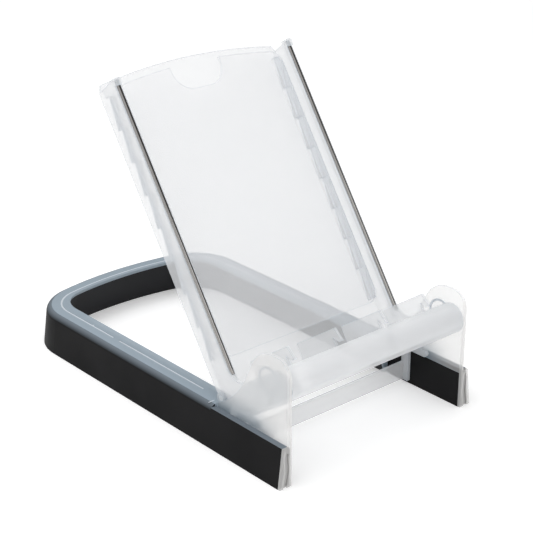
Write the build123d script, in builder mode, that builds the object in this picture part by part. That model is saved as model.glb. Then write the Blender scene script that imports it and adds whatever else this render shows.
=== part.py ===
from build123d import *
import math
import os

os.makedirs("parts", exist_ok=True)

# Bread slicer guide. X runs across, the legs open towards -Y and +Z is up.
# The origin lies on the table, in the middle of the base.

# Base: a flat U of hollow rail on the table
base_length = 283.0
rail_height = 28.0
outer_lean = 7.0          # outer side of the rail, from upright
inner_lean = 20.0         # inner side of the rail, from upright
side_rail_width = 17.5    # across the top, before the shoulder is rounded
rear_rail_width = 14.0
corner_radius = 40.0
rear_arch_radius = 240.0
rail_skin = 2.0
rail_top_skin = 2.4
groove_inset = 9.7        # in from the rail's outer side
groove_width = 1.4
groove_depth = 0.7
groove_run_in = 20.0      # plain stretch of the rail's top before the groove starts
groove_gap = 6.5          # break in the groove, towards the rear
groove_gap_setback = 110.0

# Soft cladding of the rail
grip_thickness = 3.4
inner_grip_thickness = 1.5
shoulder_radius = 5.0
foot_lip = 1.0

# Legs and ears, which hold the tray between them
ear_thickness = 1.8
ear_height = 81.0
ear_crest = 14.0          # from the front edge to the start of the slope
ear_corner_radius = 11.0
ear_slope_run = 41.0      # middle of the sloping edge, behind the front edge
ear_slope_height = 54.0
ear_foot_slope = 30.0     # lower end of the sloping edge, from level
eye_wall = 2.0            # round the hinge's bore
leg_splay = 7.5           # outer side of the leg's foot, out past the ear
leg_length = 66.0
leg_rim = 1.8             # clear rim round the leg's soft panel
panel_height = 24.6
skin_top = 26.4           # upper edge of the cladding along the leg
slot_width = 2.8          # curved groove in the front post
slot_depth = 1.0
slot_inset = 4.2
slot_sway = 1.6
slot_height = 23.0
slot_bend = 0.55          # share of the height where the groove sways furthest

# Crossbar and its end brackets
crossbar_setback = 51.0
crossbar_low = 2.5
crossbar_height = 13.0
crossbar_thickness = 2.0
bracket_thickness = 2.4
bracket_reach = 22.0
bracket_arm = 4.6
bracket_post = 6.0
bracket_top = 30.4
bracket_fit = 0.05
bracket_corner = 2.2
bracket_crook = 3.0       # inner corner between arm and post
crossbar_rounding = 0.6

# Tray: a leaning back wall, two side walls and a trough at its foot
lean = 34.5               # back wall, from upright
rod_foot_setback = 59.6   # lower end of the bare rod, behind the leg's front
rod_foot_height = 54.7
tray_gap = 0.6            # tray to ear, at each side
tray_skin = 2.2
side_skin = 2.0
tray_depth = 20.0         # rods to the back of the wall
side_wall_top = 190.5
side_wall_slope = 1.8     # fall of the side wall's top towards the back
wall_crown = 199.2
wall_shoulder = 193.2
wall_corner = 2.6
foot_radius = 26.0
trough_depth = 32.4
trough_reach = 54.4
nose_radius = 10.0
lip_overlap = 2.4
seat_fillet = 12.0

# Stainless guide rods, in beads on the side walls
rod_diameter = 2.8
rod_spread = 140.6
rod_inset = 2.3           # rod's axis, inside the side wall's outer face
rod_bare_length = 187.3
rod_in_socket = 5.0
rod_in_cap = 2.2
rod_fit = 0.02
rod_chamfer = 0.3
bead_width = 4.4
bead_depth = 3.6
cap_length = 5.0
cap_front = 2.0
cap_rounding = 1.2
socket_length = 9.0

# Ribs that carry the loaf over the trough
rib_count = 4
rib_pitch = 38.0
rib_thickness = 1.8
rib_drop = 1.5            # top of the ribs, below the rods' bare ends
rib_start = 4.0
rib_end = 40.0
tooth_reach = 7.0
tooth_drop = 9.0
tooth_thickness = 2.6

# Slice thickness plate on its ramps
ramp_pitch = 22.0
ramp_count = 8
ramp_rise = 4.0
ramp_width = 5.0
ramp_start = 8.0
slide_gap = 0.3
plate_thickness = 2.0
plate_side_gap = 0.5
plate_top_margin = 6.0
plate_corner = 9.0
plate_low = 6.0
scoop_width = 40.0
scoop_depth = 17.5
scoop_corner = 14.0

# Hinge between the tray and the ears, and the snap ring beside it
pivot_setback = 5.2       # hinge axis, in front of the wall's back face
fold_gap = 0.3            # folded wall over the rail's top
stud_radius = 1.8
stud_fit = 0.07
snap_ring_radius = 9.0
snap_ring_width = 1.4
snap_ring_proud = 0.3
snap_ring_out = 35.8
snap_ring_down = 16.4

# Places worked out from the sizes above, starting with the widths: rods, tray, ears, base
tray_half = rod_spread / 2 + rod_inset
ear_inner = tray_half + tray_gap
ear_outer = ear_inner + ear_thickness
floor_width = 2 * (ear_outer + leg_splay)
front = -base_length / 2
rear = base_length / 2
leg_end = front + leg_length
rail_front = leg_end + rail_skin
outer_slope = math.tan(math.radians(outer_lean))
inner_slope = math.tan(math.radians(inner_lean))
opening_half = floor_width / 2 - rail_height * outer_slope - side_rail_width
opening_rear = rear - rail_height * outer_slope - rear_rail_width
top_low = rail_height - rail_top_skin
cheek_inner = tray_half - side_skin
rod_radius = rod_diameter / 2
out = Vector(0, -math.cos(math.radians(lean)), math.sin(math.radians(lean)))
along = Vector(0, math.sin(math.radians(lean)), math.cos(math.radians(lean)))
rod_foot = Vector(0, front + rod_foot_setback, rod_foot_height)
wall_back = -tray_depth
wall_face = wall_back + tray_skin
foot_centre = (foot_radius - tray_depth, foot_radius - trough_depth)
nose_centre = (trough_reach - nose_radius, nose_radius - trough_depth)
pivot_out = wall_back + pivot_setback
pivot_height = rail_height + fold_gap + pivot_setback
pivot_along = (pivot_height - rod_foot.Z - pivot_out * out.Z) / along.Z
pivot = rod_foot + out * pivot_out + along * pivot_along
side_wall_end = wall_crown + wall_corner
past_all = 2 * base_length    # reaches beyond the whole part, for cutting blocks


def tray_side(offset):
    """Plane of the tray's side profile: local x out of the wall, local y up along it."""
    return Plane(origin=rod_foot + Vector(offset, 0, 0), x_dir=out, z_dir=(-1, 0, 0))


def tray_wall(offset):
    """Plane parallel to the back wall: local x across, local y up along it."""
    return Plane(origin=rod_foot + out * offset, x_dir=(1, 0, 0), z_dir=out)


def rod_section(offset):
    """Plane square to the rods: local x across."""
    return Plane(origin=rod_foot + along * offset, x_dir=(1, 0, 0), z_dir=along)


def leaning_block(half, tip, radius, arch, slope, low, high, start):
    """Leaning U-shaped block behind the line y = start, sized at the table's level."""
    half -= low * slope
    tip -= low * slope
    sagitta = arch - math.sqrt(arch**2 - half**2)
    with BuildPart() as block:
        with BuildSketch(Plane.XY.offset(low)) as plan:
            with BuildLine():
                ThreePointArc((half, tip - sagitta), (0, tip), (-half, tip - sagitta))
                Polyline(
                    (-half, tip - sagitta), (-half, front - rail_height),
                    (half, front - rail_height), (half, tip - sagitta),
                )
            make_face()
            fillet(plan.vertices().group_by(Axis.Y)[-1], radius - low * slope)
        extrude(amount=high - low, taper=math.degrees(math.atan(slope)))
        split(bisect_by=Plane.XZ.offset(-start), keep=Keep.BOTTOM)
    return block


def outer_block(inset, low, high, start):
    """Everything inside the rail's outer side, moved in by the inset."""
    return leaning_block(
        floor_width / 2 - inset, rear - inset, corner_radius - inset,
        rear_arch_radius - inset, outer_slope, low, high, start,
    ).part


def inner_block(outset, low, high, start):
    """The opening inside the rail, made larger by the outset."""
    flare = rail_height * inner_slope + outset
    return leaning_block(
        opening_half + flare, opening_rear + flare,
        corner_radius - rear_rail_width + flare - rail_height * outer_slope,
        rear_arch_radius - rear_rail_width + flare, inner_slope, low, high, start,
    ).part


def rounded_envelope():
    """The whole rail and leg outline with its rounded shoulder, filled in."""
    with BuildPart() as envelope:
        add(outer_block(0, 0, rail_height, front - rail_height / 2))
        rim = envelope.faces().sort_by(Axis.Z)[-1].edges()
        fillet(rim.sort_by(Axis.Y)[1:], shoulder_radius)
    return envelope.part


# Solids that the base's pieces are cut from
behind_rail_front = Pos(0, rail_front + past_all / 2, 0) * Box(past_all, past_all, past_all)
between_ears = Box(2 * ear_outer, past_all, past_all)
above_table = Pos(0, 0, past_all / 2) * Box(past_all, past_all, past_all)
above_lip = Pos(0, 0, foot_lip) * above_table
post_band = Pos(0, front, 0) * Box(past_all, 2 * leg_rim, past_all)
envelope = rounded_envelope()
opening = inner_block(0, 0, rail_height, front)
rail = (envelope - opening) & behind_rail_front
leg_cheeks = outer_block(0, 0, skin_top, front) - between_ears - behind_rail_front
cladding_bore = outer_block(grip_thickness, 0, rail_height, rail_front)
hollow = outer_block(grip_thickness + rail_skin, 0, top_low, rail_front)
lined_opening = inner_block(inner_grip_thickness, 0, top_low, rail_front)
hollow_side = inner_block(inner_grip_thickness + rail_skin, 0, top_low, rail_front)
cavity = hollow - hollow_side
liner_bore = lined_opening - opening

# Groove in the rail's top, which follows the rail and breaks off once on each side
groove_low = rail_height - groove_depth
groove_start = rail_front + groove_run_in
groove_break = Pos(0, rail_front + groove_gap_setback + groove_gap / 2, 0) * Box(
    past_all, groove_gap, past_all)
groove = (outer_block(groove_inset, groove_low, rail_height, groove_start)
          - outer_block(groove_inset + groove_width, groove_low, rail_height, groove_start)
          - groove_break)


def post_line(side):
    """The curved groove that runs up the front post."""
    low_x = side * (floor_width / 2 - slot_inset)
    middle = (low_x - side * slot_sway, slot_height * slot_bend)
    high = (side * (ear_outer + slot_width / 2), slot_height)
    with BuildPart() as line:
        with BuildSketch(Plane.XZ.offset(-front - slot_depth)):
            with BuildLine() as path:
                Spline((low_x, 0), middle, high, tangents=[(0, 1), (-side, 1)])
            trace(path.line, line_width=slot_width)
        extrude(amount=slot_depth)
    return line.part & above_table


post_lines = [post_line(side) for side in (-1, 1)]
post_cheeks = leg_cheeks & post_band

ear_foot = (math.cos(math.radians(ear_foot_slope)), -math.sin(math.radians(ear_foot_slope)))

# Clear base moulding: hollow rail, bulkheads, legs with their ears, and front posts
with BuildPart() as base_frame:
    add((rail & cladding_bore & above_lip) - cavity - liner_bore)
    with BuildSketch(Plane.XY.offset(foot_lip)):
        with Locations((0, leg_end + rail_skin / 2)):
            Rectangle(2 * ear_outer, rail_skin)
    extrude(amount=rail_height - foot_lip)
    add(opening, mode=Mode.SUBTRACT)
    for side in (-1, 1):
        with BuildSketch(Plane.YZ.offset(side * ear_outer)) as ear:
            with BuildLine():
                Polyline(
                    (rail_front, rail_height), (rail_front, 0), (front, 0),
                    (front, ear_height), (front + ear_crest, ear_height),
                )
                Spline(
                    (front + ear_crest, ear_height),
                    (front + ear_slope_run, ear_slope_height), (rail_front, rail_height),
                    tangents=[(1, 0), ear_foot],
                )
            make_face()
            top_corner = ear.vertices().sort_by_distance((front, ear_height))[0]
            fillet(top_corner, ear_corner_radius)
            with Locations((pivot.Y, pivot.Z)):
                Circle(stud_radius + stud_fit + eye_wall)
            with BuildLine():
                Polyline(
                    (front + leg_rim, 0), (leg_end, 0), (leg_end, panel_height),
                    (front + leg_rim, panel_height), close=True,
                )
            make_face(mode=Mode.SUBTRACT)
        extrude(amount=-side * ear_thickness)
    add(post_cheeks)
    add(post_lines, mode=Mode.SUBTRACT)
    add(groove, mode=Mode.SUBTRACT)
    with Locations(Plane(origin=pivot, z_dir=(1, 0, 0))):
        Hole(stud_radius + stud_fit, depth=floor_width)
base_frame.part.label = "base_frame"
export_step(base_frame.part, "parts/base_frame.step")

# Soft cladding: the rail's outside and shoulder, its foot, and the legs' panels
foot = (cladding_bore - hollow) - above_lip
with BuildPart() as grip_skirt:
    add((rail - cladding_bore) + foot)
    add(leg_cheeks - post_cheeks)
    for side in (-1, 1):
        with BuildSketch(Plane.YZ.offset(side * ear_outer)):
            with BuildLine():
                Polyline(
                    (front + leg_rim, 0), (leg_end, 0), (leg_end, panel_height),
                    (front + leg_rim, panel_height), close=True,
                )
            make_face()
        extrude(amount=-side * ear_thickness)
grip_skirt.part.label = "grip_skirt"
export_step(grip_skirt.part, "parts/grip_skirt.step")

# Soft liner of the rail's inner side, with its own foot
with BuildPart() as inner_grip:
    add(liner_bore & behind_rail_front)
    add(((hollow_side - lined_opening) & hollow) - above_lip)
inner_grip.part.label = "inner_grip"
export_step(inner_grip.part, "parts/inner_grip.step")

# Crossbar between the legs; its brackets stop the tray
crossbar_back = front + crossbar_setback
foot_axis = rod_foot + out * foot_centre[0] + along * foot_centre[1]
with BuildPart() as crossbar:
    with BuildSketch(Plane.XZ.offset(-crossbar_back)):
        with Locations((0, crossbar_low + crossbar_height / 2)):
            Rectangle(2 * (ear_inner - bracket_fit), crossbar_height)
    extrude(amount=crossbar_thickness)
    long_edges = crossbar.edges().filter_by(Axis.X)
    fillet(long_edges.group_by(Axis.Y)[0], crossbar_rounding)
    for side in (-1, 1):
        with BuildSketch(Plane.YZ.offset(side * (ear_inner - bracket_fit))) as bracket:
            with BuildLine():
                Polyline(
                    (crossbar_back, crossbar_low),
                    (crossbar_back, bracket_top - bracket_arm),
                    (crossbar_back - bracket_post, bracket_top),
                    (crossbar_back - bracket_reach, bracket_top),
                    (crossbar_back - bracket_reach, bracket_top - bracket_arm),
                    (crossbar_back - bracket_post, bracket_top - bracket_arm),
                    (crossbar_back - bracket_post, crossbar_low),
                    close=True,
                )
            make_face()
            fillet(bracket.vertices().group_by(Axis.X)[0], bracket_corner)
            crook = (crossbar_back - bracket_post, bracket_top - bracket_arm)
            fillet(bracket.vertices().sort_by_distance(crook)[0], bracket_crook)
            with Locations((foot_axis.Y, foot_axis.Z)):
                Circle(foot_radius + slide_gap, mode=Mode.SUBTRACT)
        extrude(amount=-side * bracket_thickness)
crossbar.part.label = "crossbar"
export_step(crossbar.part, "parts/crossbar.step")


def trough_outline(inset):
    """Side profile of wall, foot, trough and nose, moved in by a wall thickness."""
    back = wall_back + inset
    low = inset - trough_depth
    front_edge = nose_centre[0] - lip_overlap if inset else 0
    with BuildSketch() as outline:
        with BuildLine():
            wall = Line((back, side_wall_end), (back, foot_centre[1]))
            curve = JernArc(wall @ 1, wall % 1, foot_radius - inset, 90)
            floor = Line(curve @ 1, (nose_centre[0], low))
            nose = JernArc(floor @ 1, floor % 1, nose_radius - inset, 180)
            lip = Line(nose @ 1, (front_edge, (nose @ 1).Y))
            Line(lip @ 1, (front_edge, side_wall_end))
            Line((front_edge, side_wall_end), (back, side_wall_end))
        make_face()
        if not inset:
            fillet(outline.vertices().sort_by_distance(lip @ 1)[0], seat_fillet)
    return outline.sketch


tray_outline = trough_outline(0)
tray_hollow = trough_outline(tray_skin)
rib_places = [(i - (rib_count - 1) / 2) * rib_pitch for i in range(rib_count)]
ramp_places = [ramp_start + i * ramp_pitch for i in range(ramp_count)]
ramp_middle = cheek_inner - ramp_width / 2
bead_middle = tray_half - bead_width / 2
rod_length = rod_bare_length + rod_in_socket + rod_in_cap

# Clear tray moulding
with BuildPart() as tray:
    with BuildSketch(tray_side(0)):
        add(tray_outline)
    extrude(amount=tray_half, both=True)
    with BuildSketch(tray_side(0)):
        add(tray_hollow)
    extrude(amount=cheek_inner, both=True, mode=Mode.SUBTRACT)
    # arched top of the wall, between the lower side walls
    with BuildSketch(tray_wall(wall_back)) as crown:
        with BuildLine():
            ThreePointArc((-cheek_inner, wall_shoulder), (0, wall_crown),
                          (cheek_inner, wall_shoulder))
            Polyline((cheek_inner, wall_shoulder), (tray_half, side_wall_top - side_wall_slope),
                     (tray_half, side_wall_end * 2), (-tray_half, side_wall_end * 2),
                     (-tray_half, side_wall_top - side_wall_slope),
                     (-cheek_inner, wall_shoulder))
        make_face()
    extrude(amount=tray_skin, mode=Mode.SUBTRACT)
    with BuildSketch(tray_side(0)):
        with BuildLine():
            Polyline((wall_face, side_wall_top - side_wall_slope), (rod_radius * 2, side_wall_top),
                     (rod_radius * 2, side_wall_end * 2), (wall_face, side_wall_end * 2),
                     close=True)
        make_face()
    extrude(amount=tray_half, both=True, mode=Mode.SUBTRACT)
    # beads along the side walls' front edges, with a cap and a socket for each rod
    for side in (-1, 1):
        with BuildSketch(tray_wall(0)):
            with Locations((side * bead_middle, side_wall_top / 2 - socket_length / 2)):
                Rectangle(bead_width, side_wall_top + socket_length)
        extrude(amount=-bead_depth)
        with BuildSketch(tray_wall(0)):
            with Locations((side * bead_middle, side_wall_top - cap_length / 2)):
                RectangleRounded(bead_width, cap_length, cap_rounding)
        extrude(amount=cap_front)
    # ribs that carry the loaf, each with a tooth over the lip
    for place in rib_places:
        with BuildSketch(tray_side(place)) as rib:
            with BuildLine():
                tooth_tip = rib_end + tooth_reach
                Polyline(
                    (rib_start, tray_skin / 2 - trough_depth), (rib_start, -rib_drop),
                    (tooth_tip - tooth_thickness, -rib_drop),
                    (tooth_tip, -rib_drop - tooth_drop),
                    (tooth_tip - tooth_thickness, -rib_drop - tooth_drop),
                    (rib_end, -rib_drop - 2 * tooth_thickness),
                    (rib_end, tray_skin / 2 - trough_depth), close=True,
                )
            make_face()
        extrude(amount=rib_thickness / 2, both=True)
    # ramps at both sides of the wall
    for side in (-1, 1):
        with BuildSketch(tray_side(side * ramp_middle)):
            for place in ramp_places:
                with BuildLine():
                    Polyline((wall_face, place), (wall_face + ramp_rise, place + ramp_pitch),
                             (wall_face, place + ramp_pitch), close=True)
                make_face()
        extrude(amount=ramp_width / 2, both=True)
    # hinge studs and snap rings on the side walls
    for side in (-1, 1):
        with BuildSketch(tray_side(side * tray_half)):
            with Locations((pivot_out, pivot_along)):
                Circle(stud_radius)
        extrude(amount=-side * (ear_outer - tray_half))
        with BuildSketch(tray_side(side * tray_half)):
            with Locations((snap_ring_out, -snap_ring_down)):
                Circle(snap_ring_radius)
                Circle(snap_ring_radius - snap_ring_width, mode=Mode.SUBTRACT)
        extrude(amount=-side * snap_ring_proud)
    # bores that seat the rods
    for side in (-1, 1):
        with BuildSketch(rod_section(-rod_in_socket - rod_fit)):
            with Locations((side * rod_spread / 2, 0)):
                Circle(rod_radius + rod_fit)
        extrude(amount=rod_length + 2 * rod_fit, mode=Mode.SUBTRACT)
tray.part.label = "tray"
export_step(tray.part, "parts/tray.step")

# Stainless guide rods
for name, side in (("guide_rod_left", -1), ("guide_rod_right", 1)):
    with BuildPart() as guide_rod:
        with BuildSketch(rod_section(-rod_in_socket)):
            with Locations((side * rod_spread / 2, 0)):
                Circle(rod_radius)
        extrude(amount=rod_length)
        chamfer(guide_rod.edges().filter_by(GeomType.CIRCLE), rod_chamfer)
    guide_rod.part.label = name
    export_step(guide_rod.part, f"parts/{name}.step")

# Thickness plate: a clear sheet whose own ramps sit on the tray's
plate_back = wall_face + ramp_rise + slide_gap
plate_half = cheek_inner - plate_side_gap
plate_shoulder = wall_shoulder - plate_top_margin
with BuildPart() as thickness_plate:
    with BuildSketch(tray_wall(plate_back)) as sheet:
        with BuildLine():
            ThreePointArc((-plate_half, plate_shoulder), (0, wall_crown - plate_top_margin),
                          (plate_half, plate_shoulder))
            Polyline((plate_half, plate_shoulder), (plate_half, plate_low),
                     (-plate_half, plate_low), (-plate_half, plate_shoulder))
        make_face()
        fillet(sheet.vertices(), plate_corner)
        with Locations((0, wall_crown - plate_top_margin)):
            RectangleRounded(scoop_width, 2 * scoop_depth, scoop_corner, mode=Mode.SUBTRACT)
    extrude(amount=plate_thickness)
    for side in (-1, 1):
        with BuildSketch(tray_side(side * (ramp_middle - plate_side_gap / 2))):
            for place in ramp_places:
                with BuildLine():
                    low = place + slide_gap
                    Polyline((plate_back, low), (plate_back - ramp_rise, low),
                             (plate_back, low + ramp_pitch - 2 * slide_gap), close=True)
                make_face()
        extrude(amount=(ramp_width - plate_side_gap) / 2, both=True)
thickness_plate.part.label = "thickness_plate"
export_step(thickness_plate.part, "parts/thickness_plate.step")
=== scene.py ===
"""Dresses the bread slicer guide: its finishes, small moulding marks and studio stage."""

import math

import bmesh
import bpy
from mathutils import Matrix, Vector


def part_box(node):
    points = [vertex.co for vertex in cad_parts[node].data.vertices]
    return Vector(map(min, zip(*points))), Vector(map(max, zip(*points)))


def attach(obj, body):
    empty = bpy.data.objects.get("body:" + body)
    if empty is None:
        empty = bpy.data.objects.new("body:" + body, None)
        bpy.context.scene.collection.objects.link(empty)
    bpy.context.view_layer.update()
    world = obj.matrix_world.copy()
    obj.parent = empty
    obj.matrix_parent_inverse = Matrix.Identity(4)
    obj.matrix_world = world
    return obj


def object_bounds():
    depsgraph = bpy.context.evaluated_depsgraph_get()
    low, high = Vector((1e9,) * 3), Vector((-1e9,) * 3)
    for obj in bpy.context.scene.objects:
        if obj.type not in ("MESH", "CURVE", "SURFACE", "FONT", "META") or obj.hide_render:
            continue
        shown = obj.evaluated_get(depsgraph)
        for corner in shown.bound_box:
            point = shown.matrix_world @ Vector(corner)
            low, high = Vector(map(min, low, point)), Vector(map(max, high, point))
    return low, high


bl_info = {
    "name": "Bread Slicer Guide",
    "version": (1, 0, 0),
    "blender": (4, 5, 0),
    "location": "3D View > Sidebar > Slicer Guide",
    "description": "Finishes, moulding marks and studio stage of a bread slicer guide",
    "category": "Object",
}

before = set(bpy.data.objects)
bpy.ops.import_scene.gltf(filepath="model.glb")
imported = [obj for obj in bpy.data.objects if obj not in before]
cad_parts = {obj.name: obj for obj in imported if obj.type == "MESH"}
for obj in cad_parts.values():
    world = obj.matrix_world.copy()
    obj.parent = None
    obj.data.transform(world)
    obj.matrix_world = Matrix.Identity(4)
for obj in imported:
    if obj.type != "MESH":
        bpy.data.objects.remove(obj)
cad_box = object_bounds()

MM = 0.001
PICTURE_WIDTH = 533                    # in picture elements, for the focal length
SHARP_ANGLE = math.radians(50)         # edges sharper than this are rounded
MERGE_GAP = 0.001 * MM
NUB_FLATNESS = (1, 1, 0.3)
TICK_FLATNESS = (1, 0.2, 0.1)
PLASTIC_IOR = 1.49
FLOOR_HALF = 6                         # metres
FLOOR_DROP = 0.05 * MM                 # keeps the floor off the cladding's lower edge
LAMP_AIM = (0, 0, 0.08)
CLEAR_NODES = ("crossbar", "tray")
ROD_NODES = ("guide_rod_left", "guide_rod_right")
# Near-white, near-opaque bead: a painted highlight line along the rail's groove.
BEAD_HIGHLIGHT_COLOUR = (0.98, 0.98, 0.98)
LIT_SIDE = Vector((-0.85, -0.3, 0.35)).normalized()   # bright side of the studio, in reflections


# ---- settings ----

class SlicerFinishSettings(bpy.types.PropertyGroup):
    """Colours and surface sizes of the guide's three finishes."""

    clear_colour: bpy.props.FloatVectorProperty(
        name="Clear plastic", description="Body colour of the frosted plastic",
        subtype="COLOR", size=3, min=0, max=1, default=(0.925, 0.935, 0.95))
    clear_cover: bpy.props.FloatProperty(
        name="Cover", description="Share of light that one skin of frosted plastic holds back",
        subtype="FACTOR", min=0, max=1, default=0.33)
    plate_cover: bpy.props.FloatProperty(
        name="Plate cover",
        description="Share of light that one skin of the thickness plate holds back",
        subtype="FACTOR", min=0, max=1, default=0.14)
    edge_cover: bpy.props.FloatProperty(
        name="Edge cover", description="Extra cover along the plastic's edges and at a low angle",
        subtype="FACTOR", min=0, max=1, default=0.3)
    # Painted shade: a darker, cooler tone along the plastic's edges stands for the dark lines that
    # refraction draws there.
    edge_shade_colour: bpy.props.FloatVectorProperty(
        name="Edges", description="Colour of the plastic along its edges, where it is seen through",
        subtype="COLOR", size=3, min=0, max=1, default=(0.62, 0.67, 0.72))
    edge_width: bpy.props.FloatProperty(
        name="Edge width", description="Width of the denser band along the plastic's edges",
        subtype="DISTANCE", unit="LENGTH", min=0, default=0.8 * MM)
    ear_colour: bpy.props.FloatVectorProperty(
        name="Base plastic", description="Body colour of the clear base moulding",
        subtype="COLOR", size=3, min=0, max=1, default=(0.975, 0.968, 0.958))
    ear_cover: bpy.props.FloatProperty(
        name="Base cover",
        description="Share of light that one skin of the base moulding holds back",
        subtype="FACTOR", min=0, max=1, default=0.26)
    rail_colour: bpy.props.FloatVectorProperty(
        name="Rail plastic", description="Colour of the rail's clear top over its dark inside",
        subtype="COLOR", size=3, min=0, max=1, default=(0.41, 0.49, 0.56))
    rail_cover: bpy.props.FloatProperty(
        name="Rail cover", description="Share of light that the rail's clear top holds back",
        subtype="FACTOR", min=0, max=1, default=0.8)
    post_depth: bpy.props.FloatProperty(
        name="Post depth", description="Depth of the denser front ends of the legs",
        subtype="DISTANCE", unit="LENGTH", min=0, default=2.2 * MM)
    post_cover: bpy.props.FloatProperty(
        name="Post cover", description="Extra cover at the legs' front ends",
        subtype="FACTOR", min=0, max=1, default=0.24)
    # Painted shade: the ears' lower part is darkened and made denser towards the rail, for the
    # shade and the dark leg seen behind the clear plastic.
    foot_shade_colour: bpy.props.FloatVectorProperty(
        name="Dark foot",
        description="Colour of the ear's foot, where the dark leg shows in the plastic",
        subtype="COLOR", size=3, min=0, max=1, default=(0.3, 0.37, 0.43))
    clear_gloss: bpy.props.FloatProperty(
        name="Plastic gloss", description="Strength of the frosted plastic's own reflection",
        subtype="FACTOR", min=0, max=1, default=0.3)
    clear_roughness: bpy.props.FloatProperty(
        name="Plastic roughness", description="Roughness of the frosted plastic",
        subtype="FACTOR", min=0, max=1, default=0.34)
    soft_colour: bpy.props.FloatVectorProperty(
        name="Soft cladding", description="Colour of the soft black cladding",
        subtype="COLOR", size=3, min=0, max=1, default=(0.0044, 0.0044, 0.005))
    liner_colour: bpy.props.FloatVectorProperty(
        name="Liner", description="Colour of the soft liner on the rail's inner side",
        subtype="COLOR", size=3, min=0, max=1, default=(0.019, 0.0194, 0.0215))
    # Partly the blue-grey of the clear rail top over the cladding, partly painted top light and
    # sheen on the upward-facing shoulder.
    shoulder_sheen_colour: bpy.props.FloatVectorProperty(
        name="Shoulder",
        description="Colour of the cladding's shoulder where it runs under the plastic",
        subtype="COLOR", size=3, min=0, max=1, default=(0.17, 0.2, 0.23))
    steel_colour: bpy.props.FloatVectorProperty(
        name="Rods", description="Colour of the stainless rods",
        subtype="COLOR", size=3, min=0, max=1, default=(0.4, 0.388, 0.375))
    rod_lean: bpy.props.FloatProperty(
        name="Rod lean", description="How far the rods lean back from upright",
        subtype="ANGLE", unit="ROTATION", default=math.radians(34.5))
    rail_top: bpy.props.FloatProperty(
        name="Rail top", description="Height of the rail's top above the table",
        subtype="DISTANCE", unit="LENGTH", default=28 * MM)
    rail_run_out: bpy.props.FloatProperty(
        name="Rail run-out", description="How far the rail's dark tone runs past the inner grip",
        subtype="DISTANCE", unit="LENGTH", default=2.5 * MM)
    tone_blend: bpy.props.FloatProperty(
        name="Blend", description="Width over which one tone of the base runs into the next",
        subtype="DISTANCE", unit="LENGTH", min=0, default=1.0 * MM)
    # Cover, height, start and run of the painted shade on the ears' foot.
    foot_shade_cover: bpy.props.FloatProperty(
        name="Dark foot cover", description="Share of light that the ear's dark foot holds back",
        subtype="FACTOR", min=0, max=1, default=0.6)
    foot_shade_height: bpy.props.FloatProperty(
        name="Dark foot height", description="How far up the ear the dark foot fades out",
        subtype="DISTANCE", unit="LENGTH", min=0, default=14 * MM)
    foot_shade_start: bpy.props.FloatProperty(
        name="Dark foot start", description="Where the dark foot begins, behind the front",
        subtype="DISTANCE", unit="LENGTH", min=0, default=10 * MM)
    foot_shade_run: bpy.props.FloatProperty(
        name="Dark foot run", description="Length over which the dark foot comes in",
        subtype="DISTANCE", unit="LENGTH", min=0, default=20 * MM)
    frost_grain: bpy.props.FloatProperty(
        name="Frost grain", description="Size of the frosted plastic's fine grain",
        subtype="DISTANCE", unit="LENGTH", min=0, default=0.35 * MM)
    soft_grain: bpy.props.FloatProperty(
        name="Cladding grain", description="Size of the cladding's fine pebbling",
        subtype="DISTANCE", unit="LENGTH", min=0, default=0.5 * MM)


class SlicerMarkSettings(bpy.types.PropertyGroup):
    """Places and sizes of the small marks on the base's rail."""

    # Painted highlight: the bead is held nearly opaque so that it shows as a bright line.
    bead_highlight_cover: bpy.props.FloatProperty(
        name="Bead cover", description="Share of light that the groove's bead holds back",
        subtype="FACTOR", min=0, max=1, default=0.96)
    groove_depth: bpy.props.FloatProperty(
        name="Groove depth", description="Depth of the groove in the rail's top",
        subtype="DISTANCE", unit="LENGTH", min=0, default=0.7 * MM)
    bead_height: bpy.props.FloatProperty(
        name="Bead height", description="Height of the bead that stands in the groove",
        subtype="DISTANCE", unit="LENGTH", min=0, default=0.6 * MM)
    bead_rounding: bpy.props.FloatProperty(
        name="Bead rounding", description="Rounding along the bead's edges",
        subtype="DISTANCE", unit="LENGTH", min=0, default=0.15 * MM)
    nub_spread: bpy.props.FloatProperty(
        name="Nub spread", description="Distance of each small nub from the middle",
        subtype="DISTANCE", unit="LENGTH", default=68.4 * MM)
    nub_setback: bpy.props.FloatProperty(
        name="Nub setback", description="Distance of the nubs behind the front",
        subtype="DISTANCE", unit="LENGTH", default=208.8 * MM)
    nub_radius: bpy.props.FloatProperty(
        name="Nub radius", description="Radius of the small nubs",
        subtype="DISTANCE", unit="LENGTH", min=0, default=0.9 * MM)
    tick_spread: bpy.props.FloatProperty(
        name="Tick spread", description="Distance of each end tick from the middle",
        subtype="DISTANCE", unit="LENGTH", default=75.4 * MM)
    tick_setback: bpy.props.FloatProperty(
        name="Tick setback", description="Distance of the end ticks behind the front",
        subtype="DISTANCE", unit="LENGTH", default=71.8 * MM)
    tick_reach: bpy.props.FloatProperty(
        name="Tick reach", description="Half the length of the end ticks",
        subtype="DISTANCE", unit="LENGTH", min=0, default=2.6 * MM)


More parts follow.
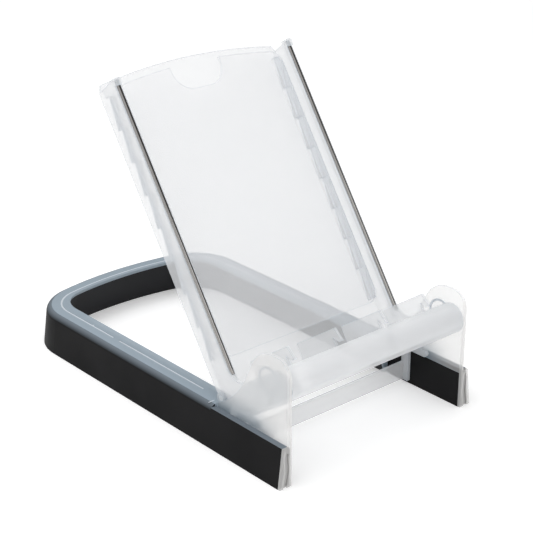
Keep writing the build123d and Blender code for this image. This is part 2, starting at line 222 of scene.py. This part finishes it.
class SlicerStageSettings(bpy.types.PropertyGroup):
    """Camera and light of the studio stage."""

    camera_place: bpy.props.FloatVectorProperty(
        name="Camera", description="Where the camera stands",
        subtype="TRANSLATION", unit="LENGTH", size=3, default=(-0.58977, -0.71491, 0.47502))
    camera_turn: bpy.props.FloatProperty(
        name="Turn", description="Camera's turn about the upright",
        subtype="ANGLE", unit="ROTATION", default=math.radians(-40.92))
    camera_rise: bpy.props.FloatProperty(
        name="Rise", description="How far the camera looks down",
        subtype="ANGLE", unit="ROTATION", default=math.radians(23.38))
    focal_pixels: bpy.props.FloatProperty(
        name="Focal length", description="Focal length in widths of a picture element",
        min=1, default=1514.8)
    world_light: bpy.props.FloatProperty(
        name="Surround", description="Strength of the even light from all round",
        min=0, default=0.7)
    key_power: bpy.props.FloatProperty(
        name="Key lamp", description="Power of the large lamp above",
        unit="POWER", min=0, default=5.0)
    fill_power: bpy.props.FloatProperty(
        name="Fill lamp", description="Power of the lamp in front",
        unit="POWER", min=0, default=2.1)
    floor_lift: bpy.props.FloatProperty(
        name="Floor lift", description="Light that the floor adds of its own to stay white",
        min=0, default=0.29)
    dark_studio: bpy.props.FloatProperty(
        name="Dark studio",
        description="Brightness of the studio away from its lamps, in reflections",
        min=0, default=0.12)


# ---- material helpers ----

def add_node(tree, kind, place, **values):
    """One shader node with its properties and unlinked inputs set."""
    node = tree.nodes.new(kind)
    node.location = place
    for name, value in values.items():
        if name in node.inputs:
            node.inputs[name].default_value = value
        else:
            setattr(node, name, value)
    return node


def new_material(name):
    """An empty node material, its output node and a Principled shader."""
    material = bpy.data.materials.new(name)
    material.use_nodes = True
    tree = material.node_tree
    tree.nodes.clear()
    output = add_node(tree, "ShaderNodeOutputMaterial", (600, 0))
    shader = add_node(tree, "ShaderNodeBsdfPrincipled", (300, 0))
    tree.links.new(shader.outputs["BSDF"], output.inputs["Surface"])
    return material, tree, shader


def noise(tree, place, scale, detail=2.0, stretch=(1, 1, 1), turn=(0, 0, 0)):
    """Noise on object coordinates, stretched and turned by a mapping node."""
    coordinates = add_node(tree, "ShaderNodeTexCoord", (place[0] - 400, place[1]))
    mapping = add_node(tree, "ShaderNodeMapping", (place[0] - 200, place[1]))
    mapping.inputs["Scale"].default_value = stretch
    mapping.inputs["Rotation"].default_value = turn
    tree.links.new(coordinates.outputs["Object"], mapping.inputs["Vector"])
    texture = add_node(tree, "ShaderNodeTexNoise", place)
    texture.inputs["Scale"].default_value = scale
    texture.inputs["Detail"].default_value = detail
    tree.links.new(mapping.outputs["Vector"], texture.inputs["Vector"])
    return texture


def drive(tree, texture, socket, low, high, place):
    """Spread a texture between two values on a socket."""
    spread = add_node(tree, "ShaderNodeMapRange", place)
    spread.inputs["From Min"].default_value = 0.3
    spread.inputs["From Max"].default_value = 0.7
    spread.inputs["To Min"].default_value = low
    spread.inputs["To Max"].default_value = high
    tree.links.new(texture.outputs["Fac"], spread.inputs["Value"])
    tree.links.new(spread.outputs["Result"], socket)


def add_bump(tree, shader, heights, place):
    """Stack bumps, coarse first: each is a texture, its depth and its strength."""
    below = None
    for texture, depth, strength in heights:
        bump = add_node(tree, "ShaderNodeBump", place)
        bump.inputs["Distance"].default_value = depth
        bump.inputs["Strength"].default_value = strength
        tree.links.new(texture.outputs["Fac"], bump.inputs["Height"])
        if below:
            tree.links.new(below.outputs["Normal"], bump.inputs["Normal"])
        below = bump
        place = (place[0] + 180, place[1] - 60)
    tree.links.new(below.outputs["Normal"], shader.inputs["Normal"])


def add_up(tree, first, second, place, operation="ADD"):
    """Join two sockets by a Math node, kept between 0 and 1."""
    joined = add_node(tree, "ShaderNodeMath", place, operation=operation, use_clamp=True)
    for socket, value in zip(joined.inputs, (first, second)):
        if isinstance(value, bpy.types.NodeSocket):
            tree.links.new(value, socket)
        else:
            socket.default_value = value
    return joined.outputs[0]


def edge_band(tree, width, place):
    """1 along convex edges and thin rims, falling to 0 on open faces."""
    inner = add_node(tree, "ShaderNodeAmbientOcclusion", place, inside=True, samples=8)
    inner.inputs["Distance"].default_value = width
    band = add_node(tree, "ShaderNodeMapRange", (place[0] + 200, place[1]))
    band.inputs["From Min"].default_value = 1.0
    band.inputs["From Max"].default_value = 0.55
    tree.links.new(inner.outputs["AO"], band.inputs["Value"])
    return band.outputs["Result"]


def band(tree, axis, start, end, place, kind="Object"):
    """0 at the start and 1 at the end, along one axis of the object's coordinates or normal."""
    coordinates = add_node(tree, "ShaderNodeTexCoord", place)
    parts = add_node(tree, "ShaderNodeSeparateXYZ", (place[0] + 150, place[1]))
    tree.links.new(coordinates.outputs[kind], parts.inputs[0])
    spread = add_node(tree, "ShaderNodeMapRange", (place[0] + 300, place[1]))
    spread.inputs["From Min"].default_value = start
    spread.inputs["From Max"].default_value = end
    tree.links.new(parts.outputs[axis], spread.inputs["Value"])
    return spread.outputs["Result"]


def mix_colour(tree, share, first, second, place):
    """Mix two colours, each a plain colour or a socket, by a share."""
    mixed = add_node(tree, "ShaderNodeMix", place, data_type="RGBA")
    tree.links.new(share, mixed.inputs["Factor"])
    for name, value in (("A", first), ("B", second)):
        socket = next(s for s in mixed.inputs if s.name == name and s.type == "RGBA")
        if isinstance(value, bpy.types.NodeSocket):
            tree.links.new(value, socket)
        else:
            socket.default_value = (*value, 1)
    return next(s for s in mixed.outputs if s.type == "RGBA")


def shaded(colour, share):
    """A colour made lighter or darker."""
    return tuple(part * share for part in colour)


def plastic_skin(tree, settings, cover, colour, zones=()):
    """Colour and cover of a clear skin, denser at edges and at a low angle, with painted darker
    edge lines.

    Each zone is a 0 to 1 socket with the colour and the cover that it brings.
    """
    flow = noise(tree, (-1500, 0), 35, 3.0, stretch=(0.5, 1, 1))
    body = add_node(tree, "ShaderNodeMapRange", (-1200, -200))
    body.inputs["To Min"].default_value = cover * 0.94
    body.inputs["To Max"].default_value = cover * 1.06
    tree.links.new(flow.outputs["Fac"], body.inputs["Value"])
    held = body.outputs["Result"]
    tone = mix_colour(tree, flow.outputs["Fac"], shaded(colour, 0.98), colour, (-1200, 200))
    edges = edge_band(tree, settings.edge_width, (-1500, -500))
    # Painted shade: the edges take a darker tone for the refraction lines along thin plastic edges.
    tone = mix_colour(tree, edges, tone, settings.edge_shade_colour, (-1000, 200))
    slant = add_node(tree, "ShaderNodeLayerWeight", (-1500, -700), Blend=0.25)
    rim = add_up(tree, edges, slant.outputs["Facing"], (-1200, -600), "MAXIMUM")
    rim = add_up(tree, rim, settings.edge_cover, (-1050, -600), "MULTIPLY")
    held = add_up(tree, held, rim, (-900, -400))
    for share, zone_colour, zone_cover in zones:
        tone = mix_colour(tree, share, tone, zone_colour, (-800, 200))
        blend = add_node(tree, "ShaderNodeMix", (-800, -300), data_type="FLOAT")
        tree.links.new(share, blend.inputs[0])
        tree.links.new(held, blend.inputs[2])
        blend.inputs[3].default_value = zone_cover
        held = blend.outputs[0]
    return flow, tone, held


def frosted_plastic(name, settings, cover, colour, zones_of=None):
    """Frosted, slightly cool polypropylene that lets what is behind it show."""
    material, tree, shader = new_material(name)
    zones = zones_of(tree, settings) if zones_of else ()
    flow, tone, held = plastic_skin(tree, settings, cover, colour, zones)
    grain = noise(tree, (-700, -900), 1 / settings.frost_grain, 1.0)
    tree.links.new(tone, shader.inputs["Base Color"])
    tree.links.new(held, shader.inputs["Alpha"])
    drive(tree, flow, shader.inputs["Roughness"],
          settings.clear_roughness * 0.9, settings.clear_roughness * 1.1, (-100, -250))
    shader.inputs["IOR"].default_value = PLASTIC_IOR
    shader.inputs["Specular IOR Level"].default_value = settings.clear_gloss
    add_bump(tree, shader, [(flow, 0.2 * MM, 0.12), (grain, 0.02 * MM, 0.35)], (-100, -500))
    return material


def base_zones(tree, settings):
    """The clear base's denser front posts, its rail over the dark inside and the painted shade on
    the ears' foot.
    """
    front = cad_box[0][1]
    rail_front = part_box("inner_grip")[0][1]
    posts = band(tree, "Y", front + settings.post_depth, front + 0.7 * settings.post_depth,
                 (-1700, -1100))
    rail = band(tree, "Y", rail_front - settings.rail_run_out,
                rail_front - settings.rail_run_out + settings.tone_blend, (-1700, -1400))
    low = band(tree, "Z", settings.rail_top + 1.5 * settings.tone_blend,
               settings.rail_top + 0.5 * settings.tone_blend, (-1700, -1700))
    rail = add_up(tree, rail, low, (-1100, -1500), "MULTIPLY")
    # Painted shade on the ears' foot: darker and denser from above the rail downwards, coming in
    # behind the front.
    foot = band(tree, "Z", settings.rail_top + settings.foot_shade_height,
                settings.rail_top - 2 * settings.tone_blend, (-1700, -2000))
    behind = band(tree, "Y", front + settings.foot_shade_start,
                  front + settings.foot_shade_start + settings.foot_shade_run, (-1700, -2300))
    foot = add_up(tree, foot, behind, (-1100, -2100), "MULTIPLY")
    # The front posts are denser for their thicker plastic, and their tone is painted 8 % darker as
    # shade for the dark leg seen behind them.
    return [(foot, settings.foot_shade_colour, settings.foot_shade_cover),
            (posts, shaded(settings.ear_colour, 0.92), settings.ear_cover + settings.post_cover),
            (rail, settings.rail_colour, settings.rail_cover)]


def soft_cladding(name, settings, colour):
    """Matt black soft-touch cladding with a fine pebbled skin and a painted lighter upward-facing
    shoulder.
    """
    material, tree, shader = new_material(name)
    grain = noise(tree, (-500, -300), 1 / settings.soft_grain, 2.0)
    handling = noise(tree, (-500, 0), 28, 4.0)
    tone = mix_colour(tree, handling.outputs["Fac"], colour, shaded(colour, 1.35), (-300, 200))
    # Painted top light: surfaces above 20 mm that face up are lightened towards the shoulder
    # colour.
    high = band(tree, "Z", 20 * MM, 22 * MM, (-1100, 300))
    facing_up = band(tree, "Z", 0.3, 0.95, (-1100, 600), "Normal")
    shoulder = add_up(tree, high, facing_up, (-500, 400), "MULTIPLY")
    tone = mix_colour(tree, shoulder, tone, settings.shoulder_sheen_colour, (-100, 200))
    tree.links.new(tone, shader.inputs["Base Color"])
    drive(tree, handling, shader.inputs["Roughness"], 0.5, 0.62, (-100, -150))
    shader.inputs["Specular IOR Level"].default_value = 0.11
    add_bump(tree, shader, [(handling, 0.15 * MM, 0.1), (grain, 0.04 * MM, 0.4)], (-100, -500))
    return material


def drawn_steel(settings):
    """Stainless rod with fine drawing lines along its length."""
    material, tree, shader = new_material("drawn_steel")
    lines = noise(tree, (-500, -300), 900, 2.0, stretch=(1, 1, 0.02),
                  turn=(settings.rod_lean, 0, 0))
    handling = noise(tree, (-500, 0), 60, 3.0)
    shader.inputs["Metallic"].default_value = 1.0
    tone = mix_colour(tree, lines.outputs["Fac"], shaded(settings.steel_colour, 0.88),
                      shaded(settings.steel_colour, 1.1), (-100, 200))
    tree.links.new(tone, shader.inputs["Base Color"])
    drive(tree, handling, shader.inputs["Roughness"], 0.1, 0.17, (-100, -150))
    add_bump(tree, shader, [(lines, 0.01 * MM, 0.3)], (-100, -500))
    return material


def give_material(names, material):
    """Put one material on CAD nodes."""
    for name in names:
        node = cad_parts[name]
        node.data.materials.clear()
        node.data.materials.append(material)


# ---- operators ----

class SLICER_OT_clear_plastic(bpy.types.Operator):
    """Finish the clear mouldings: base frame, crossbar, tray and thickness plate"""

    bl_idname = "slicer.clear_plastic"
    bl_label = "Clear Plastic"

    def execute(self, context):
        settings = context.scene.slicer_finish
        give_material(CLEAR_NODES, frosted_plastic(
            "frosted_plastic", settings, settings.clear_cover, settings.clear_colour))
        give_material(("thickness_plate",), frosted_plastic(
            "frosted_plate", settings, settings.plate_cover, settings.clear_colour))
        give_material(("base_frame",), frosted_plastic(
            "frosted_base", settings, settings.ear_cover, settings.ear_colour, base_zones))
        return {"FINISHED"}


class SLICER_OT_soft_cladding(bpy.types.Operator):
    """Finish the soft black cladding of the base"""

    bl_idname = "slicer.soft_cladding"
    bl_label = "Soft Cladding"

    def execute(self, context):
        settings = context.scene.slicer_finish
        give_material(("grip_skirt",), soft_cladding(
            "soft_cladding", settings, settings.soft_colour))
        give_material(("inner_grip",), soft_cladding(
            "soft_liner", settings, settings.liner_colour))
        return {"FINISHED"}


class SLICER_OT_guide_rods(bpy.types.Operator):
    """Finish the two stainless guide rods"""

    bl_idname = "slicer.guide_rods"
    bl_label = "Guide Rods"

    def execute(self, context):
        give_material(ROD_NODES, drawn_steel(context.scene.slicer_finish))
        return {"FINISHED"}


def moulded_piece(form, name, body, material, bevel=0.0):
    """Turn a bmesh into a piece of the clear moulding that rides on a body."""
    bmesh.ops.recalc_face_normals(form, faces=form.faces)
    mesh = bpy.data.meshes.new(name)
    form.to_mesh(mesh)
    form.free()
    mesh.materials.append(material)
    mesh.shade_smooth()
    piece = bpy.data.objects.new(name, mesh)
    bpy.context.scene.collection.objects.link(piece)
    if bevel:
        rounding = piece.modifiers.new("rounding", "BEVEL")
        rounding.width = bevel
        rounding.segments = 2
        rounding.limit_method = "ANGLE"
        rounding.angle_limit = SHARP_ANGLE
    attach(piece, body)
    return piece


def groove_bead_form(depth, height):
    """Bead standing on the floor of the rail's groove, taken from the groove's own faces."""
    form = bmesh.new()
    form.from_mesh(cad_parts["base_frame"].data)
    bmesh.ops.remove_doubles(form, verts=form.verts, dist=MERGE_GAP)
    level = max(v.co.z for v in form.verts if v.co.y > 0) - depth
    others = [f for f in form.faces
              if f.normal.z < 0.9 or abs(f.calc_center_median().z - level) > 0.1 * MM]
    bmesh.ops.delete(form, geom=others, context="FACES")
    bmesh.ops.translate(form, verts=form.verts, vec=(0, 0, 0.02 * MM))
    grown = bmesh.ops.extrude_face_region(form, geom=form.faces[:])["geom"]
    risen = [v for v in grown if isinstance(v, bmesh.types.BMVert)]
    bmesh.ops.translate(form, verts=risen, vec=(0, 0, height))
    return form


def lens_form(place, size, flatness):
    """A shallow smooth nub: a sphere flattened along the three axes."""
    form = bmesh.new()
    bmesh.ops.create_uvsphere(form, u_segments=24, v_segments=12, radius=size)
    bmesh.ops.scale(form, vec=flatness, verts=form.verts)
    bmesh.ops.translate(form, vec=place, verts=form.verts)
    return form


class SLICER_OT_moulding_marks(bpy.types.Operator):
    """Add the groove's bead and the small nubs of the clear mouldings"""

    bl_idname = "slicer.moulding_marks"
    bl_label = "Moulding Marks"

    def execute(self, context):
        finish = context.scene.slicer_finish
        marks = context.scene.slicer_marks
        # Painted highlight along the groove: the bead takes a near-opaque white plastic, which the
        # nubs and ticks share.
        bead_plastic = frosted_plastic("bead_plastic", finish, marks.bead_highlight_cover, BEAD_HIGHLIGHT_COLOUR)
        moulded_piece(groove_bead_form(marks.groove_depth, marks.bead_height), "groove_bead",
                      "base", bead_plastic, marks.bead_rounding)
        front = cad_box[0][1]
        for name, side in (("left", -1), ("right", 1)):
            place = (side * marks.nub_spread, front + marks.nub_setback, finish.rail_top)
            moulded_piece(lens_form(place, marks.nub_radius, NUB_FLATNESS),
                          f"groove_nub_{name}", "base", bead_plastic)
            place = (side * marks.tick_spread, front + marks.tick_setback, finish.rail_top)
            moulded_piece(lens_form(place, marks.tick_reach, TICK_FLATNESS),
                          f"end_tick_{name}", "base", bead_plastic)
        return {"FINISHED"}


def white_floor(own_light):
    """Floor that stays white around the guide and keeps its shadow."""
    material = bpy.data.materials.new("white_floor")
    material.use_nodes = True
    tree = material.node_tree
    tree.nodes.clear()
    output = add_node(tree, "ShaderNodeOutputMaterial", (600, 0))
    paper = add_node(tree, "ShaderNodeBsdfDiffuse", (0, 0))
    paper.inputs["Color"].default_value = (0.9, 0.9, 0.9, 1)
    lift = add_node(tree, "ShaderNodeEmission", (0, -200))
    lift.inputs["Strength"].default_value = own_light
    together = add_node(tree, "ShaderNodeAddShader", (200, -100))
    rays = add_node(tree, "ShaderNodeLightPath", (-200, 300))
    seen = seen_rays(tree, rays, (0, 300))
    pick = add_node(tree, "ShaderNodeMixShader", (400, 0))
    tree.links.new(paper.outputs[0], together.inputs[0])
    tree.links.new(lift.outputs[0], together.inputs[1])
    tree.links.new(seen, pick.inputs[0])
    tree.links.new(paper.outputs[0], pick.inputs[1])
    tree.links.new(together.outputs[0], pick.inputs[2])
    tree.links.new(pick.outputs[0], output.inputs["Surface"])
    return material


def seen_rays(tree, rays, place):
    """1 for camera, glossy and transmission rays, else 0."""
    first = add_node(tree, "ShaderNodeMath", place, operation="MAXIMUM")
    second = add_node(tree, "ShaderNodeMath", (place[0] + 150, place[1]), operation="MAXIMUM")
    tree.links.new(rays.outputs["Is Camera Ray"], first.inputs[0])
    tree.links.new(rays.outputs["Is Glossy Ray"], first.inputs[1])
    tree.links.new(first.outputs[0], second.inputs[0])
    tree.links.new(rays.outputs["Is Transmission Ray"], second.inputs[1])
    return second.outputs[0]


def white_world(strength, dark_studio):
    """White surround: full white to the eye, softer as a light, and dim behind the lamps' side."""
    world = bpy.data.worlds.new("studio")
    world.use_nodes = True
    tree = world.node_tree
    tree.nodes.clear()
    output = add_node(tree, "ShaderNodeOutputWorld", (600, 0))
    light = add_node(tree, "ShaderNodeBackground", (0, 0))
    light.inputs["Strength"].default_value = strength
    backdrop = add_node(tree, "ShaderNodeBackground", (0, -150))
    backdrop.inputs["Color"].default_value = (1, 1, 1, 1)
    backdrop.inputs["Strength"].default_value = 1.0
    light.inputs["Color"].default_value = (1, 1, 1, 1)
    coordinates = add_node(tree, "ShaderNodeTexCoord", (-600, -350))
    toward = add_node(tree, "ShaderNodeVectorMath", (-400, -350), operation="DOT_PRODUCT")
    toward.inputs[1].default_value = LIT_SIDE
    tree.links.new(coordinates.outputs["Generated"], toward.inputs[0])
    walls = add_node(tree, "ShaderNodeMapRange", (-200, -350))
    walls.inputs["From Min"].default_value = 0.55
    walls.inputs["From Max"].default_value = 0.85
    walls.inputs["To Min"].default_value = dark_studio
    tree.links.new(toward.outputs["Value"], walls.inputs["Value"])
    mirrored = add_node(tree, "ShaderNodeBackground", (0, -350))
    tree.links.new(walls.outputs["Result"], mirrored.inputs["Strength"])
    rays = add_node(tree, "ShaderNodeLightPath", (-200, 300))
    pick = add_node(tree, "ShaderNodeMixShader", (400, 0))
    gloss = add_node(tree, "ShaderNodeMixShader", (200, -200))
    tree.links.new(rays.outputs["Is Glossy Ray"], gloss.inputs[0])
    tree.links.new(backdrop.outputs[0], gloss.inputs[1])
    tree.links.new(mirrored.outputs[0], gloss.inputs[2])
    tree.links.new(seen_rays(tree, rays, (0, 300)), pick.inputs[0])
    tree.links.new(light.outputs[0], pick.inputs[1])
    tree.links.new(gloss.outputs[0], pick.inputs[2])
    tree.links.new(pick.outputs[0], output.inputs["Surface"])
    bpy.context.scene.world = world


def area_lamp(name, place, aim, size, power):
    """A square softbox at a place, aimed at a point."""
    data = bpy.data.lights.new(name, "AREA")
    data.shape = "SQUARE"
    data.size = size
    data.energy = power
    lamp = bpy.data.objects.new(name, data)
    bpy.context.scene.collection.objects.link(lamp)
    lamp.location = place
    lamp.rotation_euler = (Vector(aim) - Vector(place)).to_track_quat("-Z", "Y").to_euler()
    return lamp


class SLICER_OT_stage(bpy.types.Operator):
    """Set up the white floor, the surround, the lamps and the camera"""

    bl_idname = "slicer.stage"
    bl_label = "Studio Stage"

    def execute(self, context):
        settings = context.scene.slicer_stage
        mesh = bpy.data.meshes.new("floor")
        form = bmesh.new()
        bmesh.ops.create_grid(form, x_segments=1, y_segments=1, size=FLOOR_HALF)
        bmesh.ops.translate(form, verts=form.verts, vec=(0, 0, -FLOOR_DROP))
        form.to_mesh(mesh)
        form.free()
        floor = bpy.data.objects.new("floor", mesh)
        context.scene.collection.objects.link(floor)
        mesh.materials.append(white_floor(settings.floor_lift))
        white_world(settings.world_light, settings.dark_studio)
        area_lamp("key", (-0.35, 0.25, 1.1), LAMP_AIM, 0.9, settings.key_power)
        area_lamp("fill", (-0.15, -1.2, 0.7), LAMP_AIM, 0.7, settings.fill_power)
        data = bpy.data.cameras.new("camera")
        data.sensor_width = 36
        data.lens = settings.focal_pixels * data.sensor_width / PICTURE_WIDTH
        camera = bpy.data.objects.new("camera", data)
        context.scene.collection.objects.link(camera)
        camera.location = settings.camera_place
        camera.rotation_euler = (math.pi / 2 - settings.camera_rise, 0, settings.camera_turn)
        context.scene.camera = camera
        context.scene.view_settings.view_transform = "Standard"
        return {"FINISHED"}


class SLICER_PT_panel(bpy.types.Panel):
    """Lists the guide's settings and operators"""

    bl_idname = "SLICER_PT_panel"
    bl_label = "Bread Slicer Guide"
    bl_space_type = "VIEW_3D"
    bl_region_type = "UI"
    bl_category = "Slicer Guide"

    def draw(self, context):
        scene = context.scene
        for group in (scene.slicer_finish, scene.slicer_marks, scene.slicer_stage):
            box = self.layout.box()
            for name in group.__annotations__:
                box.prop(group, name)
        for operator in OPERATORS:
            self.layout.operator(operator.bl_idname)


OPERATORS = (
    SLICER_OT_clear_plastic,
    SLICER_OT_soft_cladding,
    SLICER_OT_guide_rods,
    SLICER_OT_moulding_marks,
    SLICER_OT_stage,
)
CLASSES = (SlicerFinishSettings, SlicerMarkSettings, SlicerStageSettings, *OPERATORS,
           SLICER_PT_panel)


def register():
    for item in CLASSES:
        bpy.utils.register_class(item)
    bpy.types.Scene.slicer_finish = bpy.props.PointerProperty(type=SlicerFinishSettings)
    bpy.types.Scene.slicer_marks = bpy.props.PointerProperty(type=SlicerMarkSettings)
    bpy.types.Scene.slicer_stage = bpy.props.PointerProperty(type=SlicerStageSettings)


def unregister():
    del bpy.types.Scene.slicer_stage
    del bpy.types.Scene.slicer_marks
    del bpy.types.Scene.slicer_finish
    for item in reversed(CLASSES):
        bpy.utils.unregister_class(item)


def main():
    """Register the add-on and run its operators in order."""
    register()
    bpy.ops.slicer.clear_plastic()
    bpy.ops.slicer.soft_cladding()
    bpy.ops.slicer.guide_rods()
    bpy.ops.slicer.moulding_marks()
    bpy.ops.slicer.stage()


if __name__ == "__main__":
    main()
